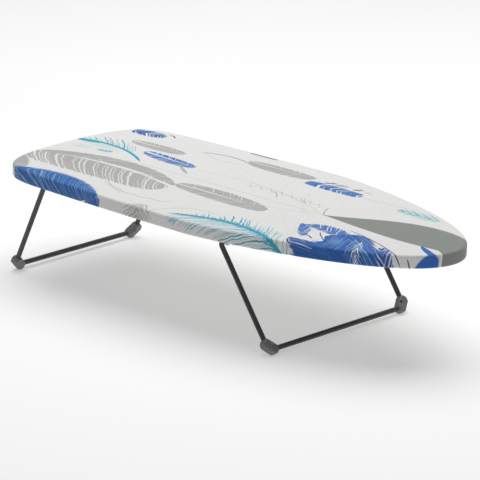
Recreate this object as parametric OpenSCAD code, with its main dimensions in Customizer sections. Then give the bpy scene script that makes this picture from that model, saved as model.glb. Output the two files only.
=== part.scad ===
// Tabletop ironing board: a padded, covered steel mesh deck on two fold-flat wire legs.
// Origin: middle of the footprint on the table. +X runs to the nose, +Z up, millimetres.

/* [Board] */
// Length of the covered board, square end to nose
board_l = 730; // [640:5:860]
// Greatest width of the covered board
board_w = 312; // [280:2:340]
// Height of the ironing surface above the table
board_h = 160; // [140:1:200]
// How far forward of the middle the board is widest
widest_x = 25; // [0:1:40]
// How much narrower the square end is, between the starts of its round corners
rear_taper = 20; // [10:2:40]
// How far the nose's side curves reach back before they bend in
nose_reach = 45; // [40:1:90]
// How much less than half the width the nose's blunt tip is
nose_narrow = 48; // [32:1:60]

/* [Cover and pad] */
// Thickness of the cotton cover
cover_t = 1; // [0.8:0.1:1.4]
// Thickness of the foam pad
pad_t = 5.6; // [4:0.2:8]
// Width of the cover turned under the board
hem_w = 20; // [17:0.5:22]
// Width of the flat elastic in the hem
elastic_w = 4; // [3:0.5:5]
// Thickness of the flat elastic
elastic_t = 1.2; // [0.8:0.1:1.6]
// Gap left between soft layers and what they lie on
lay_gap = 0.2; // [0.1:0.05:0.3]

/* [Deck] */
// Height of the rolled rim round the deck
rim_h = 9.8; // [8.4:0.2:14]
// Width of the rim's flanges
rim_flange = 9; // [7:0.5:10]
// Sheet thickness of the rim and the mesh
sheet_t = 1; // [0.8:0.1:1.2]
// Diameter of the holes in the deck
hole_d = 14; // [8:1:16]
// Distance between neighbouring holes
hole_pitch = 24; // [22:1:40]

/* [Legs] */
// Diameter of the legs' steel rod
rod_d = 7; // [6:0.5:7.5]
// Square end to the rear leg's pivot
rear_pivot_in = 84; // [70:1:110]
// Gap between the legs' lower bars when both legs are folded
fold_gap = 49.9; // [24:0.1:70]
// Board's edge at the rear pivot to the middle of an upright
rear_upright_in = 28.6; // [24:0.1:40]
// Board's edge at the front pivot to the middle of an upright
front_upright_in = 17.2; // [14:0.1:36]
// Rear leg's slope out from upright
rear_splay = 25; // [15:1:35]
// Front leg's slope out from upright
front_splay = 35; // [20:1:42]
// Pivots below the underside of the board
pivot_drop = 4.5; // [4.5:0.5:16]
// Middle line radius of the legs' lower bends
foot_bend_r = 9; // [8.5:0.5:10]
// Middle line radius of the legs' upper bends
top_bend_r = 8; // [7.5:0.5:10]

/* [Brackets and bushes] */
// Width of the cross brackets along the board
bracket_w = 38; // [34:1:50]
// Sheet thickness of the cross brackets
bracket_t = 1.5; // [1.2:0.1:2]
// Depth of the brackets' stiffening flanges
bracket_flange = 7; // [4:0.5:8]
// Radial clearance of the rod in a bush
run_gap = 0.05; // [0.02:0.01:0.1]
// Wall of a bush's barrel
bush_wall = 2; // [1.5:0.1:2.5]
// Thickness of a bush's flange
bush_flange_t = 1.2; // [1:0.1:1.6]
// Diameter of the rivets
rivet_d = 4; // [3:0.5:4]

/* [Foot shoes] */
// Thickness of a closed shoe, across the leg
shoe_t = 12; // [11:0.5:15]
// Radius of a shoe's round ends
shoe_r = 7; // [6.5:0.1:8.5]
// How far the shoe's ends sit from the leg's corner
shoe_arm = 8; // [7.5:0.1:11]
// Bevel round a shoe's outer faces
shoe_bevel = 1.6; // [1:0.1:2]
// Height of the leg's lower bar, at its middle line
bar_h = 7.5; // [7.2:0.1:7.8]
// Diameter of the shoe screws
screw_d = 2.5; // [2:0.1:2.6]
// Gap between a shoe and the rod
shoe_gap = 0.1; // [0.05:0.05:0.15]

/* [Hidden] */

$fn = 48;
REAR = -1;
FRONT = 1;
LEFT = 1;
RIGHT = -1;
step_count = 26;

// Heights, from the ironing surface down
pad_top = board_h - cover_t - lay_gap;
rim_top = pad_top - pad_t - lay_gap;
rim_low = rim_top - rim_h;
under_z = rim_low - lay_gap - cover_t;
mesh_top = rim_top - sheet_t;
mesh_low = mesh_top - sheet_t;
pivot_z = under_z - pivot_drop;
rod_r = rod_d / 2;

// Everything inside the cover starts this far in from its outside
skin_in = cover_t + lay_gap;

// Colours
white = [0.93, 0.93, 0.92];
steel = [0.72, 0.73, 0.74];
dark_grey = [0.24, 0.24, 0.24];
mid_grey = [0.4, 0.4, 0.4];

// ---------- The board's outline ----------
// Half of it is three cubic curves: the square end and its corner, the nearly straight side,
// and the long curve to the nose. Each corner of a curve's frame is worked out from the sizes.
rear_w = board_w - rear_taper;
nose_blunt = board_w / 2 - nose_narrow;
rear_end = [-board_l / 2, 0];
rear_side = [-board_l / 2 + 90, rear_w / 2];
rear_corner = [-board_l / 2 + 23, rear_w / 2 - 4];
widest = [widest_x, board_w / 2];
nose_tip = [board_l / 2, 0];
side_run = 80;

function unit(v) = v / norm(v);
side_dir = unit(rear_side - rear_corner);
end_curve = [rear_end, rear_end + [0, rear_w / 2 - 26], rear_corner, rear_side];
side_curve = [rear_side, rear_side + side_run * side_dir, widest - [side_run, 0], widest];
nose_curve = [widest, widest + [nose_reach, 0], nose_tip + [0, nose_blunt], nose_tip];

function on_curve(c, t) =
  pow(1 - t, 3) * c[0] + 3 * t * pow(1 - t, 2) * c[1] + 3 * t * t * (1 - t) * c[2] + pow(t, 3) * c[3];
function along(c, t) =
  unit(pow(1 - t, 2) * (c[1] - c[0]) + 2 * t * (1 - t) * (c[2] - c[1]) + t * t * (c[3] - c[2]));
// A point of the curve, moved in by inset square to it
function inset_point(c, t, inset) = on_curve(c, t) + inset * [along(c, t)[1], -along(c, t)[0]];
function curve_points(c, inset, last) =
  [for (i = [0 : step_count - (last ? 0 : 1)]) inset_point(c, i / step_count, inset)];
function half_outline(inset) = concat(curve_points(end_curve, inset, false),
  curve_points(side_curve, inset, false), curve_points(nose_curve, inset, true));
function mirrored(points) = [for (i = [len(points) - 2 : -1 : 1]) [points[i][0], -points[i][1]]];

module outline(inset) {
  half = half_outline(inset);
  polygon(concat(half, mirrored(half)));
}
module slab(inset, low, high) {
  translate([0, 0, low]) linear_extrude(high - low) outline(inset);
}
// A flat band that follows the outline between two insets
module band(outer_in, inner_in, low, high) {
  translate([0, 0, low]) linear_extrude(high - low) difference() {
    outline(outer_in);
    outline(inner_in);
  }
}

// ---------- Deck ----------
mesh_in = skin_in + sheet_t + 0.1;
rear_pivot_x = -board_l / 2 + rear_pivot_in;
front_pivot_x = rear_pivot_x + leg_l(REAR) + leg_l(FRONT) + fold_gap;
row_step = hole_pitch * sin(60);

function half_width(x, inset) = let (half = half_outline(inset))
  max([for (i = [0 : len(half) - 2])
    if (half[i][0] <= x && x <= half[i + 1][0])
      half[i][1] + (half[i + 1][1] - half[i][1]) * (x - half[i][0]) / (half[i + 1][0] - half[i][0])]);
// Legs are bent to whole millimetres
function leg_w(end) = 2 * round(half_width(pivot_x(end), 0) - (end == REAR ? rear_upright_in : front_upright_in));
function pivot_x(end) = end == REAR ? rear_pivot_x : front_pivot_x;
function splay(end) = end == REAR ? rear_splay : front_splay;
function leg_l(end) = (pivot_z - bar_h) / cos(splay(end));

// The mesh keeps a plain strip over each bracket and along the rim
function over_bracket(x) =
  min(abs(x - rear_pivot_x), abs(x - front_pivot_x)) < bracket_w / 2 + hole_d / 2 + 1;
plain_edge = skin_in + rim_flange + hole_d / 2 + 1;

module deck_mesh() {
  reach = board_l / 2 - plain_edge - hole_d / 2;
  rows = floor(reach / row_step);
  color(steel) translate([0, 0, mesh_low]) linear_extrude(sheet_t) difference() {
    outline(mesh_in);
    for (row = [-rows : rows]) {
      x = row * row_step;
      shift = row % 2 == 0 ? 0 : hole_pitch / 2;
      count = floor((half_width(x, plain_edge) - shift) / hole_pitch);
      if (!over_bracket(x))
        for (i = [-count - (shift > 0 ? 1 : 0) : count])
          translate([x, shift + i * hole_pitch]) circle(d = hole_d, $fn = 24);
    }
  }
}

// A channel rolled round the deck, open inwards, with the mesh welded under its top flange
module deck_rim() {
  color(steel) {
    band(skin_in, skin_in + sheet_t, rim_low, rim_top);
    band(skin_in + sheet_t / 2, skin_in + rim_flange, rim_top - sheet_t, rim_top);
    band(skin_in + sheet_t / 2, skin_in + rim_flange, rim_low, rim_low + sheet_t);
  }
}

// ---------- Brackets, bushes and rivets ----------
bush_r = rod_r + run_gap + bush_wall;
bush_seat = 0.05;
ear_hole_r = bush_r + bush_seat;
ear_r = ear_hole_r + 2.8;
bush_flange_r = bush_r + 1.6;
ear_gap = top_bend_r + 3.3;
plate_low = mesh_low - bracket_t;
flange_low = plate_low - bracket_flange;
function ear_out(end) = leg_w(end) / 2 - ear_gap - bush_flange_t;

// The stop arms on the legs' inner ends lean on tabs pressed down from the bracket
arm_t = 6;
arm_w = 8;
arm_l = 10.5;
arm_gap = 0.5;
stop_gap = 0.1;
bush_barrel = bracket_t + 2.5;
function arm_out(end) = ear_out(end) - bush_barrel - arm_gap;

// Turns a shape drawn in the leg's own plane (X across the board, -Y down the leg) into place
module in_leg_plane(end) {
  translate([pivot_x(end), 0, pivot_z]) rotate([0, -end * splay(end), 0]) rotate([90, 0, 90]) children();
}

// One ear: a plate that narrows from the bracket's full width to the bush
module ear_plate(end) {
  translate([pivot_x(end), 0, pivot_z]) rotate([90, 0, 0]) linear_extrude(bracket_t, center = true) {
    circle(r = ear_r);
    polygon([[-bracket_w / 2, mesh_low - pivot_z], [bracket_w / 2, mesh_low - pivot_z],
      [bracket_w / 2, flange_low - pivot_z], [ear_r * sin(60), -ear_r * cos(60)],
      [-ear_r * sin(60), -ear_r * cos(60)], [-bracket_w / 2, flange_low - pivot_z]]);
  }
}
module stop_tab(end) {
  translate([pivot_x(end) - end * (arm_w / 2 + stop_gap + bracket_t / 2), arm_out(end) - arm_t / 2,
      flange_low + (mesh_low - flange_low) / 2])
    cube([bracket_t, arm_t, mesh_low - flange_low], center = true);
}
module bracket(end) {
  half = ear_out(end);
  color(steel) difference() {
    union() {
      translate([pivot_x(end) - bracket_w / 2, -half, mesh_low - bracket_t])
        cube([bracket_w, 2 * half, bracket_t]);
      for (side = [-1, 1]) translate([pivot_x(end) + side * (bracket_w - bracket_t) / 2, 0,
          mesh_low - bracket_t - bracket_flange / 2])
        cube([bracket_t, 2 * half, bracket_flange + bracket_t], center = true);
      for (side = [0, 1]) mirror([0, side, 0]) {
        translate([0, half - bracket_t / 2, 0]) ear_plate(end);
        stop_tab(end);
      }
    }
    translate([pivot_x(end), 0, pivot_z]) rotate([90, 0, 0])
      cylinder(r = ear_hole_r, h = 2 * half + 2, center = true);
    rivet_places(end) cylinder(d = rivet_d, h = 4 * bracket_t, center = true);
  }
}
module rear_bracket() { bracket(REAR); }
module front_bracket() { bracket(FRONT); }

// Rivets run in two rows of three across each bracket
module rivet_places(end) {
  for (across = [-1, 0, 1], row = [-1, 1])
    translate([pivot_x(end) + row * bracket_w / 4, across * (ear_out(end) - 12), mesh_low]) children();
}
rivet_head_t = 0.8;
rivet_head_r = rivet_d / 2 + 1.6;
module rivets(end) {
  color(steel) rivet_places(end) {
    translate([0, 0, -bracket_t - rivet_head_t]) cylinder(d1 = rivet_d, r2 = rivet_head_r, h = rivet_head_t);
    translate([0, 0, -bracket_t]) cylinder(d = rivet_d, h = bracket_t);
  }
}
module rear_rivets() { rivets(REAR); }
module front_rivets() { rivets(FRONT); }

// A flanged nylon bush, its flange outside the ear
module bush(end, side) {
  color(mid_grey) translate([pivot_x(end), side * ear_out(end), pivot_z]) rotate([-side * 90, 0, 0])
    difference() {
      union() {
        cylinder(r = bush_flange_r, h = bush_flange_t);
        translate([0, 0, -bush_barrel]) cylinder(r = bush_r, h = bush_barrel);
      }
      cylinder(r = rod_r + run_gap, h = 3 * bush_barrel, center = true);
    }
}
module rear_left_bush() { bush(REAR, LEFT); }
module rear_right_bush() { bush(REAR, RIGHT); }
module front_left_bush() { bush(FRONT, LEFT); }
module front_right_bush() { bush(FRONT, RIGHT); }

// ---------- Soft goods ----------
module foam_pad() { color([0.95, 0.9, 0.7]) slab(skin_in, rim_top + lay_gap, pad_top); }

// The cover: top, skirt, the part turned under, and the casing sewn along its inner edge
casing_w = elastic_w + 3;
casing_h = elastic_t + 2.2;
module cover() {
  casing_in = hem_w - casing_w;
  color(white) {
    slab(0, board_h - cover_t, board_h);
    band(0, cover_t, under_z, board_h - cover_t);
    band(cover_t / 2, hem_w, under_z, under_z + cover_t);
    difference() {
      band(casing_in, hem_w, under_z, under_z + casing_h);
      band(casing_in + cover_t, hem_w - cover_t, under_z + cover_t, under_z + casing_h - cover_t);
    }
  }
}
module hem_elastic() {
  edge = (casing_w - elastic_w) / 2;
  low = under_z + cover_t;
  color("ivory") band(hem_w - casing_w + edge, hem_w - edge, low, low + elastic_t);
}

// ---------- Legs ----------
stub_l = ear_gap - top_bend_r + bush_flange_t + bush_barrel + arm_gap + arm_t;

module rod(length) { cylinder(r = rod_r, h = length); }
module bend(radius) { rotate_extrude(angle = 90) translate([radius, 0]) circle(r = rod_r); }
module leg(end) {
  half = leg_w(end) / 2;
  long = leg_l(end);
  color(dark_grey) in_leg_plane(end) {
    for (side = [0, 1]) mirror([side, 0, 0]) {
      translate([half - top_bend_r - stub_l, 0, 0]) rotate([0, 90, 0]) rod(stub_l);
      translate([half - top_bend_r, -top_bend_r, 0]) bend(top_bend_r);
      translate([half, -top_bend_r, 0]) rotate([90, 0, 0]) rod(long - top_bend_r - foot_bend_r);
      translate([half - foot_bend_r, -long + foot_bend_r, 0]) rotate(-90) bend(foot_bend_r);
    }
    translate([-half + foot_bend_r, -long, 0]) rotate([0, 90, 0]) rod(2 * (half - foot_bend_r));
  }
}
module rear_leg() { leg(REAR); }
module front_leg() { leg(FRONT); }

// Stop arms pressed on the legs' inner ends: they hold the ends in the bushes and stop the leg
hub_wall = 2;
arm_seat = 0.02;
module stop_arms(end) {
  color(dark_grey) for (side = [0, 1]) mirror([0, side, 0])
    translate([pivot_x(end), arm_out(end) - arm_t, pivot_z]) rotate([-90, 0, 0]) difference() {
      union() {
        cylinder(r = rod_r + hub_wall, h = arm_t);
        translate([-arm_w / 2, -arm_l, 0]) cube([arm_w, arm_l, arm_t]);
      }
      translate([0, 0, -1]) cylinder(r = rod_r + arm_seat, h = arm_t + 2);
    }
}
module rear_stop_arms() { stop_arms(REAR); }
module front_stop_arms() { stop_arms(FRONT); }

// ---------- Foot shoes ----------
// Each shoe is two shells clasped round the leg's corner, with a screw through the inner gusset.
// Its profile has an end up the leg and an end along the bar, each with flat facets round a circle.
facet = 45;
function facets(middle, radius, from, to) =
  [for (a = [from : facet : to]) middle + radius / cos(facet / 2) * [cos(a), sin(a)]];
function shoe_profile(radius) = concat(facets([0, shoe_arm], radius, -facet / 2, 90 + facet / 2),
  facets([-shoe_arm, 0], radius, 180 - facet / 2, 270 + facet / 2));
screw_at = -(rod_r + foot_bend_r * (1 - sqrt(0.5)) * sqrt(2) + 1.6 + screw_d / 2) * sqrt(0.5);
head_r = screw_d / 2 + 1;
head_t = 1.4;

module at_corner(end, side) {
  in_leg_plane(end) mirror([side == LEFT ? 0 : 1, 0, 0])
    translate([leg_w(end) / 2, -leg_l(end), 0]) children();
}
module shoe_shell() {
  hull() {
    linear_extrude(shoe_t / 2 - shoe_bevel) polygon(shoe_profile(shoe_r));
    linear_extrude(shoe_t / 2) polygon(shoe_profile(shoe_r - shoe_bevel));
  }
}
module rod_channel() {
  r = rod_r + shoe_gap;
  translate([0, foot_bend_r, 0]) rotate([-90, 0, 0]) cylinder(r = r, h = 40);
  translate([-foot_bend_r, 0, 0]) rotate([0, -90, 0]) cylinder(r = r, h = 40);
  translate([-foot_bend_r, foot_bend_r, 0]) rotate(-90)
    rotate_extrude(angle = 90) translate([foot_bend_r, 0]) circle(r = r);
}
// face is 1 for the shell on the nose side of the leg's plane, -1 for the other
module shoe(end, side, face) {
  color(mid_grey) difference() {
    at_corner(end, side) difference() {
      mirror([0, 0, face > 0 ? 0 : 1]) shoe_shell();
      rod_channel();
      translate([screw_at, -screw_at, 0]) {
        cylinder(d = screw_d + 2 * shoe_gap, h = shoe_t + 2, center = true);
        if (face * end > 0) mirror([0, 0, face > 0 ? 0 : 1])
          translate([0, 0, shoe_t / 2 - head_t]) cylinder(r = head_r + shoe_gap, h = shoe_t);
      }
    }
    translate([-board_l, -board_w, -2 * board_h]) cube([2 * board_l, 2 * board_w, 2 * board_h]);
  }
}
module rear_left_shoe_outer() { shoe(REAR, LEFT, REAR); }
module rear_left_shoe_inner() { shoe(REAR, LEFT, -REAR); }
module rear_right_shoe_outer() { shoe(REAR, RIGHT, REAR); }
module rear_right_shoe_inner() { shoe(REAR, RIGHT, -REAR); }
module front_left_shoe_outer() { shoe(FRONT, LEFT, FRONT); }
module front_left_shoe_inner() { shoe(FRONT, LEFT, -FRONT); }
module front_right_shoe_outer() { shoe(FRONT, RIGHT, FRONT); }
module front_right_shoe_inner() { shoe(FRONT, RIGHT, -FRONT); }

// Screws go in from the outer face and stop short of the inner one
module shoe_screws(end) {
  long = shoe_t - head_t - 1.5;
  color(steel) for (side = [LEFT, RIGHT]) at_corner(end, side) mirror([0, 0, end > 0 ? 0 : 1])
    translate([screw_at, -screw_at, shoe_t / 2 - head_t]) {
      cylinder(r = head_r, h = head_t - 0.2);
      translate([0, 0, -long]) cylinder(d = screw_d, h = long);
    }
}
module rear_shoe_screws() { shoe_screws(REAR); }
module front_shoe_screws() { shoe_screws(FRONT); }

deck_mesh();
deck_rim();
rear_bracket();
front_bracket();
rear_rivets();
front_rivets();
rear_left_bush();
rear_right_bush();
front_left_bush();
front_right_bush();
foam_pad();
cover();
hem_elastic();
rear_leg();
front_leg();
rear_stop_arms();
front_stop_arms();
rear_left_shoe_outer();
rear_left_shoe_inner();
rear_right_shoe_outer();
rear_right_shoe_inner();
front_left_shoe_outer();
front_left_shoe_inner();
front_right_shoe_outer();
front_right_shoe_inner();
rear_shoe_screws();
front_shoe_screws();
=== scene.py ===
"""Tabletop ironing board with a printed cover, a padded mesh deck and two folding wire legs."""

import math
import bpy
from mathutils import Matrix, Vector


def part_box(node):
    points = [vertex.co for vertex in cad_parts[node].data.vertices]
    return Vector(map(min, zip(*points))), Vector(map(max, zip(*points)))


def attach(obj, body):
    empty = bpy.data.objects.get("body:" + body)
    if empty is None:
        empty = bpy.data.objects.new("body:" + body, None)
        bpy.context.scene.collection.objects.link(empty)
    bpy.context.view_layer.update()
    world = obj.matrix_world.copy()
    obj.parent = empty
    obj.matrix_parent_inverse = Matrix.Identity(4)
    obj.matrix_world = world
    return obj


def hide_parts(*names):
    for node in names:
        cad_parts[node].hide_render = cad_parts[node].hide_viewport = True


bl_info = {
    "name": "Tabletop Ironing Board",
    "version": (1, 0, 0),
    "blender": (4, 5, 0),
    "location": "View3D > Sidebar > Ironing Board",
    "description": "Builds the finished surfaces of a tabletop ironing board round its packed frame",
    "category": "Add Mesh",
}

import bmesh
import bpy
import numpy as np
from bpy.props import FloatProperty, FloatVectorProperty, IntProperty, PointerProperty
from mathutils import Matrix

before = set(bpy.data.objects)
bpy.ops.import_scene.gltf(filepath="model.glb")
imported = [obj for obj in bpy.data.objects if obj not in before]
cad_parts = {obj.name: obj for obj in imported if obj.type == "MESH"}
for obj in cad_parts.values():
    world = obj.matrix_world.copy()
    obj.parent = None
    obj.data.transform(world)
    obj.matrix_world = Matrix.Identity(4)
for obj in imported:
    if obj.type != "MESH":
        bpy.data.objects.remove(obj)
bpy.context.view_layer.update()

MM = 0.001
REAR, FRONT = "rear", "front"
LEFT, RIGHT = "left", "right"

# A CAD mesh's points this near are one, and its faces within this angle are one flat face
SAME_POINT, SAME_PLANE = 0.002 * MM, math.radians(1.0)

# The cover's edge past its elastic: how far it turns back, its curl downwards, and the curl's heights
TURN_BACK, CURL = 4.2 * MM, 1.2 * MM
CURL_HIGH, CURL_LOW = 2 * MM, 0.7 * MM

# How far slow waves draw the cover's skirt in
SKIRT_DIP = 0.35 * MM

# The hem's stitches: how far their row is before the elastic's fold, and from one stitch to the next
STITCH_ROW, STITCH_STEP = 6.6 * MM, 3 * MM

# The gathers along the hem, which the elastic follows: most waves round it, cosines and seed
GATHERS = (150, 12, 8)

# The foam's points round and rings of its faces, and how far slow waves lower its top
PAD_POINTS, PAD_RINGS, PAD_DIP = 360, 24, 0.3 * MM

# The elastic's points round, its width, and the height of its waves
ELASTIC_POINTS, ELASTIC_WIDTH, ELASTIC_WAVE = 720, 4 * MM, 0.12 * MM

# The rivets: radius and height of the domed head, radius of the shank, how high the dome's rim is above
# the rivet's lowest point, and the thickness of that rim
RIVET_HEAD, RIVET_DOME, RIVET_SHANK = 3.6 * MM, 0.9 * MM, 2 * MM
RIVET_SEAT, RIVET_LIP = 0.8 * MM, 0.05 * MM

# The camera's right, up and back directions, and its place
CAMERA_AXES = ((0.72168, 0.69212, 0.01253), (-0.21198, 0.20374, 0.95580), (0.65897, -0.69243, 0.29375))
CAMERA_PLACE = (3.56369, -3.76551, 1.68790)

# The floor's half width, and how far it lies below the feet
FLOOR_HALF, FLOOR_DROP = 9, 0.2 * MM


# ---------- Settings ----------


def length(name, description, default):
    """A length in metres, given in millimetres."""
    return FloatProperty(name=name, description=description, default=default * MM, unit="LENGTH", precision=5)


def colour(name, description, red, green, blue):
    """A scene-linear colour."""
    return FloatVectorProperty(name=name, description=description, default=(red, green, blue),
                               subtype="COLOR", size=3, min=0, max=1)


class IB_PG_cover(bpy.types.PropertyGroup):
    """Sizes and colours of the cotton cover."""

    cloth: length("Cloth", "Thickness of the cotton", 0.5)
    top_round: length("Top edge", "Radius of the cover's top edge", 4.5)
    low_round: length("Lower edge", "Radius of the fold under the board", 2.4)
    hem: length("Hem", "Width of the cover turned under the board", 20)
    casing: length("Casing", "Height of the elastic's casing", 3.2)
    softness: length("Softness", "Height of the slow waves in the padded top", 0.35)
    gathers: length("Gathers", "Height of the small gathers in the hem", 0.35)
    points_round: IntProperty(name="Points round", description="Points round the board's outline",
                              default=440, min=120)
    rings: IntProperty(name="Rings", description="Rings of the top, middle to edge", default=34, min=8)
    white: colour("Cotton", "Colour of the unprinted cotton", 0.86, 0.86, 0.85)
    grey: colour("Grey", "Grey of the printed feathers", 0.51, 0.51, 0.495)
    nose_grey: colour("Nose grey", "Grey of the big shape at the nose", 0.29, 0.31, 0.285)
    blue: colour("Blue", "Blue of the printed feathers", 0.05, 0.168, 0.53)
    navy: colour("Navy", "Dark blue of the feathers' shaded barbs", 0.020, 0.094, 0.34)
    teal: colour("Teal", "Teal of the printed quills", 0.05, 0.40, 0.56)
    mint: colour("Mint", "Pale green of the printed washes", 0.50, 0.76, 0.70)
    ice: colour("Ice", "Pale blue of the hairlines between barbs", 0.30, 0.50, 0.68)
    violet: colour("Violet", "Violet of the printed fine lines", 0.075, 0.05, 0.26)


class IB_PG_soft(bpy.types.PropertyGroup):
    """Sizes and colours of the foam pad and the elastic."""

    pad_round: length("Pad edge", "Radius of the foam's edges", 2)
    pad_crown: length("Crown", "How far the foam's top rises to its middle", 0.3)
    foam: colour("Foam", "Colour of the foam", 0.80, 0.74, 0.52)
    elastic: colour("Elastic", "Colour of the elastic", 0.66, 0.64, 0.58)


class IB_PG_legs(bpy.types.PropertyGroup):
    """Sizes and colours of the legs and shoes."""

    rod: length("Rod", "Diameter of the steel rod", 7)
    foot_bend: length("Foot bend", "Middle line radius of the lower bends", 9)
    top_bend: length("Top bend", "Middle line radius of the upper bends", 8)
    stub: length("Stub", "Length of rod inward of each upper bend", 15)
    paint: colour("Powder coat", "Colour of the legs", 0.060, 0.060, 0.061)
    shoe: colour("Shoe", "Colour of the foot shoes", 0.20, 0.20, 0.20)
    arm: colour("Stop arm", "Colour of the stop arms", 0.05, 0.05, 0.052)
    bush: colour("Bush", "Colour of the nylon bushes", 0.55, 0.54, 0.50)
    shoe_round: length("Shoe edge", "Radius of the shoes' edges", 0.6)


class IB_PG_metal(bpy.types.PropertyGroup):
    """Finish of the deck, brackets and fasteners."""

    zinc: colour("Zinc", "Colour of the zinc-plated sheet", 0.55, 0.56, 0.58)
    screw: colour("Screw", "Colour of the screws", 0.45, 0.45, 0.46)
    edge_round: length("Sheet edge", "Radius of the sheet metal's edges", 0.25)


class IB_PG_stage(bpy.types.PropertyGroup):
    """Camera, lights and floor."""

    focal: FloatProperty(name="Focal length", description="Camera's focal length", default=300, unit="CAMERA")
    floor: colour("Floor", "Colour of the floor", 0.64, 0.64, 0.64)
    glow: FloatProperty(name="Glow", description="Light of the floor's own, which lifts its shadows",
                        default=0.42, min=0, max=1)
    top_power: FloatProperty(name="Top light", description="Power of the wide light overhead", default=84,
                             min=0, unit="POWER")
    side_power: FloatProperty(name="Side light", description="Power of the light from the nose's far side",
                              default=1, min=0, unit="POWER")
    room: FloatProperty(name="Room light", description="Strength of the even light from all round",
                        default=0.07, min=0)


# ---------- Mesh helpers ----------


def linked(name, data):
    """A new object at the origin for that mesh, light or camera, linked to the scene."""
    made = bpy.data.objects.new(name, data)
    bpy.context.scene.collection.objects.link(made)
    return made


def mesh_object(name, points, faces, attributes=None):
    """An object with smooth faces, and a vector attribute on its points for each item given."""
    mesh = bpy.data.meshes.new(name)
    mesh.from_pydata(points.tolist(), [], faces)
    for title, values in (attributes or {}).items():
        layer = mesh.attributes.new(title, "FLOAT_VECTOR", "POINT")
        layer.data.foreach_set("vector", np.ascontiguousarray(values, dtype=np.float32).ravel())
    mesh.polygons.foreach_set("use_smooth", np.ones(len(mesh.polygons), dtype=bool))
    mesh.update()
    return linked(name, mesh)


def signed_volume(points, quads):
    """A sixth of the sum, over both triangles of each quad, of its corners' triple product."""
    middle = points.mean(axis=0)
    corner = (points - middle)[quads]
    first = np.einsum("ij,ij->i", corner[:, 0], np.cross(corner[:, 1], corner[:, 2]))
    second = np.einsum("ij,ij->i", corner[:, 0], np.cross(corner[:, 2], corner[:, 3]))
    return (first + second).sum() / 6


def skin(rings, start=False, end=False):
    """Quads between neighbouring closed rings, shape (rings, points, 3), and a fan to the middle of the
    first or last ring where asked. The faces are turned so that the volume they enclose is positive."""
    count, around = rings.shape[:2]
    here = np.arange(around)
    there = np.roll(here, -1)
    base = (np.arange(count - 1) * around)[:, None]
    after = base + around
    quads = np.stack([base + here, base + there, after + there, after + here], axis=-1).reshape(-1, 4)
    points = rings.reshape(-1, 3)
    fans = []
    for wanted, ring, pair in ((start, 0, (there, here)), (end, count - 1, (here, there))):
        if wanted:
            middle = len(points)
            points = np.vstack([points, rings[ring].mean(axis=0)])
            corners = pair[0] + ring * around, pair[1] + ring * around, np.full(around, middle)
            fans.append(np.stack(corners, axis=-1))
    if signed_volume(points, quads) < 0:
        quads = quads[:, ::-1]
        fans = [fan[:, ::-1] for fan in fans]
    return points, quads.tolist() + [face for fan in fans for face in fan.tolist()]


def joined(parts):
    """Several (points, faces) as one."""
    points, faces, base = [], [], 0
    for part_points, part_faces in parts:
        points.append(part_points)
        faces += [[index + base for index in face] for face in part_faces]
        base += len(part_points)
    return np.vstack(points), faces


def cad_points(node):
    """The node's own vertices, shape (count, 3)."""
    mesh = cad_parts[node].data
    flat = np.empty(len(mesh.vertices) * 3)
    mesh.vertices.foreach_get("co", flat)
    return flat.reshape(-1, 3)


def copied(node, name, edge, segments=2, smooth=30.0):
    """A merged copy of a CAD node with its flat faces joined and its sharp edges rounded by a Bevel."""
    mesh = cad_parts[node].data.copy()
    mesh.name = name
    work = bmesh.new()
    work.from_mesh(mesh)
    bmesh.ops.remove_doubles(work, verts=work.verts, dist=SAME_POINT)
    bmesh.ops.dissolve_limit(work, angle_limit=SAME_PLANE, verts=work.verts, edges=work.edges)
    sharp = math.radians(smooth)
    for face in work.faces:
        face.smooth = True
    for border in work.edges:
        border.smooth = len(border.link_faces) == 2 and border.calc_face_angle(0) < sharp
    work.to_mesh(mesh)
    work.free()
    made = linked(name, mesh)
    bevel = made.modifiers.new("Rounded edges", "BEVEL")
    bevel.width = edge
    bevel.segments = segments
    bevel.limit_method = "ANGLE"
    bevel.angle_limit = sharp
    bevel.harden_normals = True
    return made


def placed(made, body, slot, material, *nodes):
    """Dresses a piece, rides it on its body and lets it stand for its CAD nodes."""
    made.data.materials.clear()
    made.data.materials.append(material)
    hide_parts(*nodes)
    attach(made, body)
    return made


def carried(node, body, slot, material, edge, segments=2, smooth=30.0):
    """A rounded copy of one CAD node, dressed and put in its place."""
    return placed(copied(node, node + "_part", edge, segments, smooth), body, slot, material, node)


def slow_wave(place, reach, terms, seed):
    """The mean of a few cosines of place, each with a whole number of turns up to reach and its own phase."""
    chance = np.random.default_rng(seed)
    turns = chance.integers(max(1, reach // 3), reach + 1, terms)
    phase = chance.uniform(0, 2 * math.pi, terms)
    return np.cos(2 * math.pi * turns * place[..., None] + phase).mean(axis=-1)


def rolling(points, scale, terms, seed):
    """The mean of a few cosines of the distance along random directions, with wavelengths near scale."""
    chance = np.random.default_rng(seed)
    turn = chance.uniform(0, 2 * math.pi, terms)
    pitch = 2 * math.pi / (scale * chance.uniform(0.6, 1.7, terms))
    phase = chance.uniform(0, 2 * math.pi, terms)
    along = points[..., 0, None] * np.cos(turn) + points[..., 1, None] * np.sin(turn)
    return np.cos(along * pitch + phase).mean(axis=-1)


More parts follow.
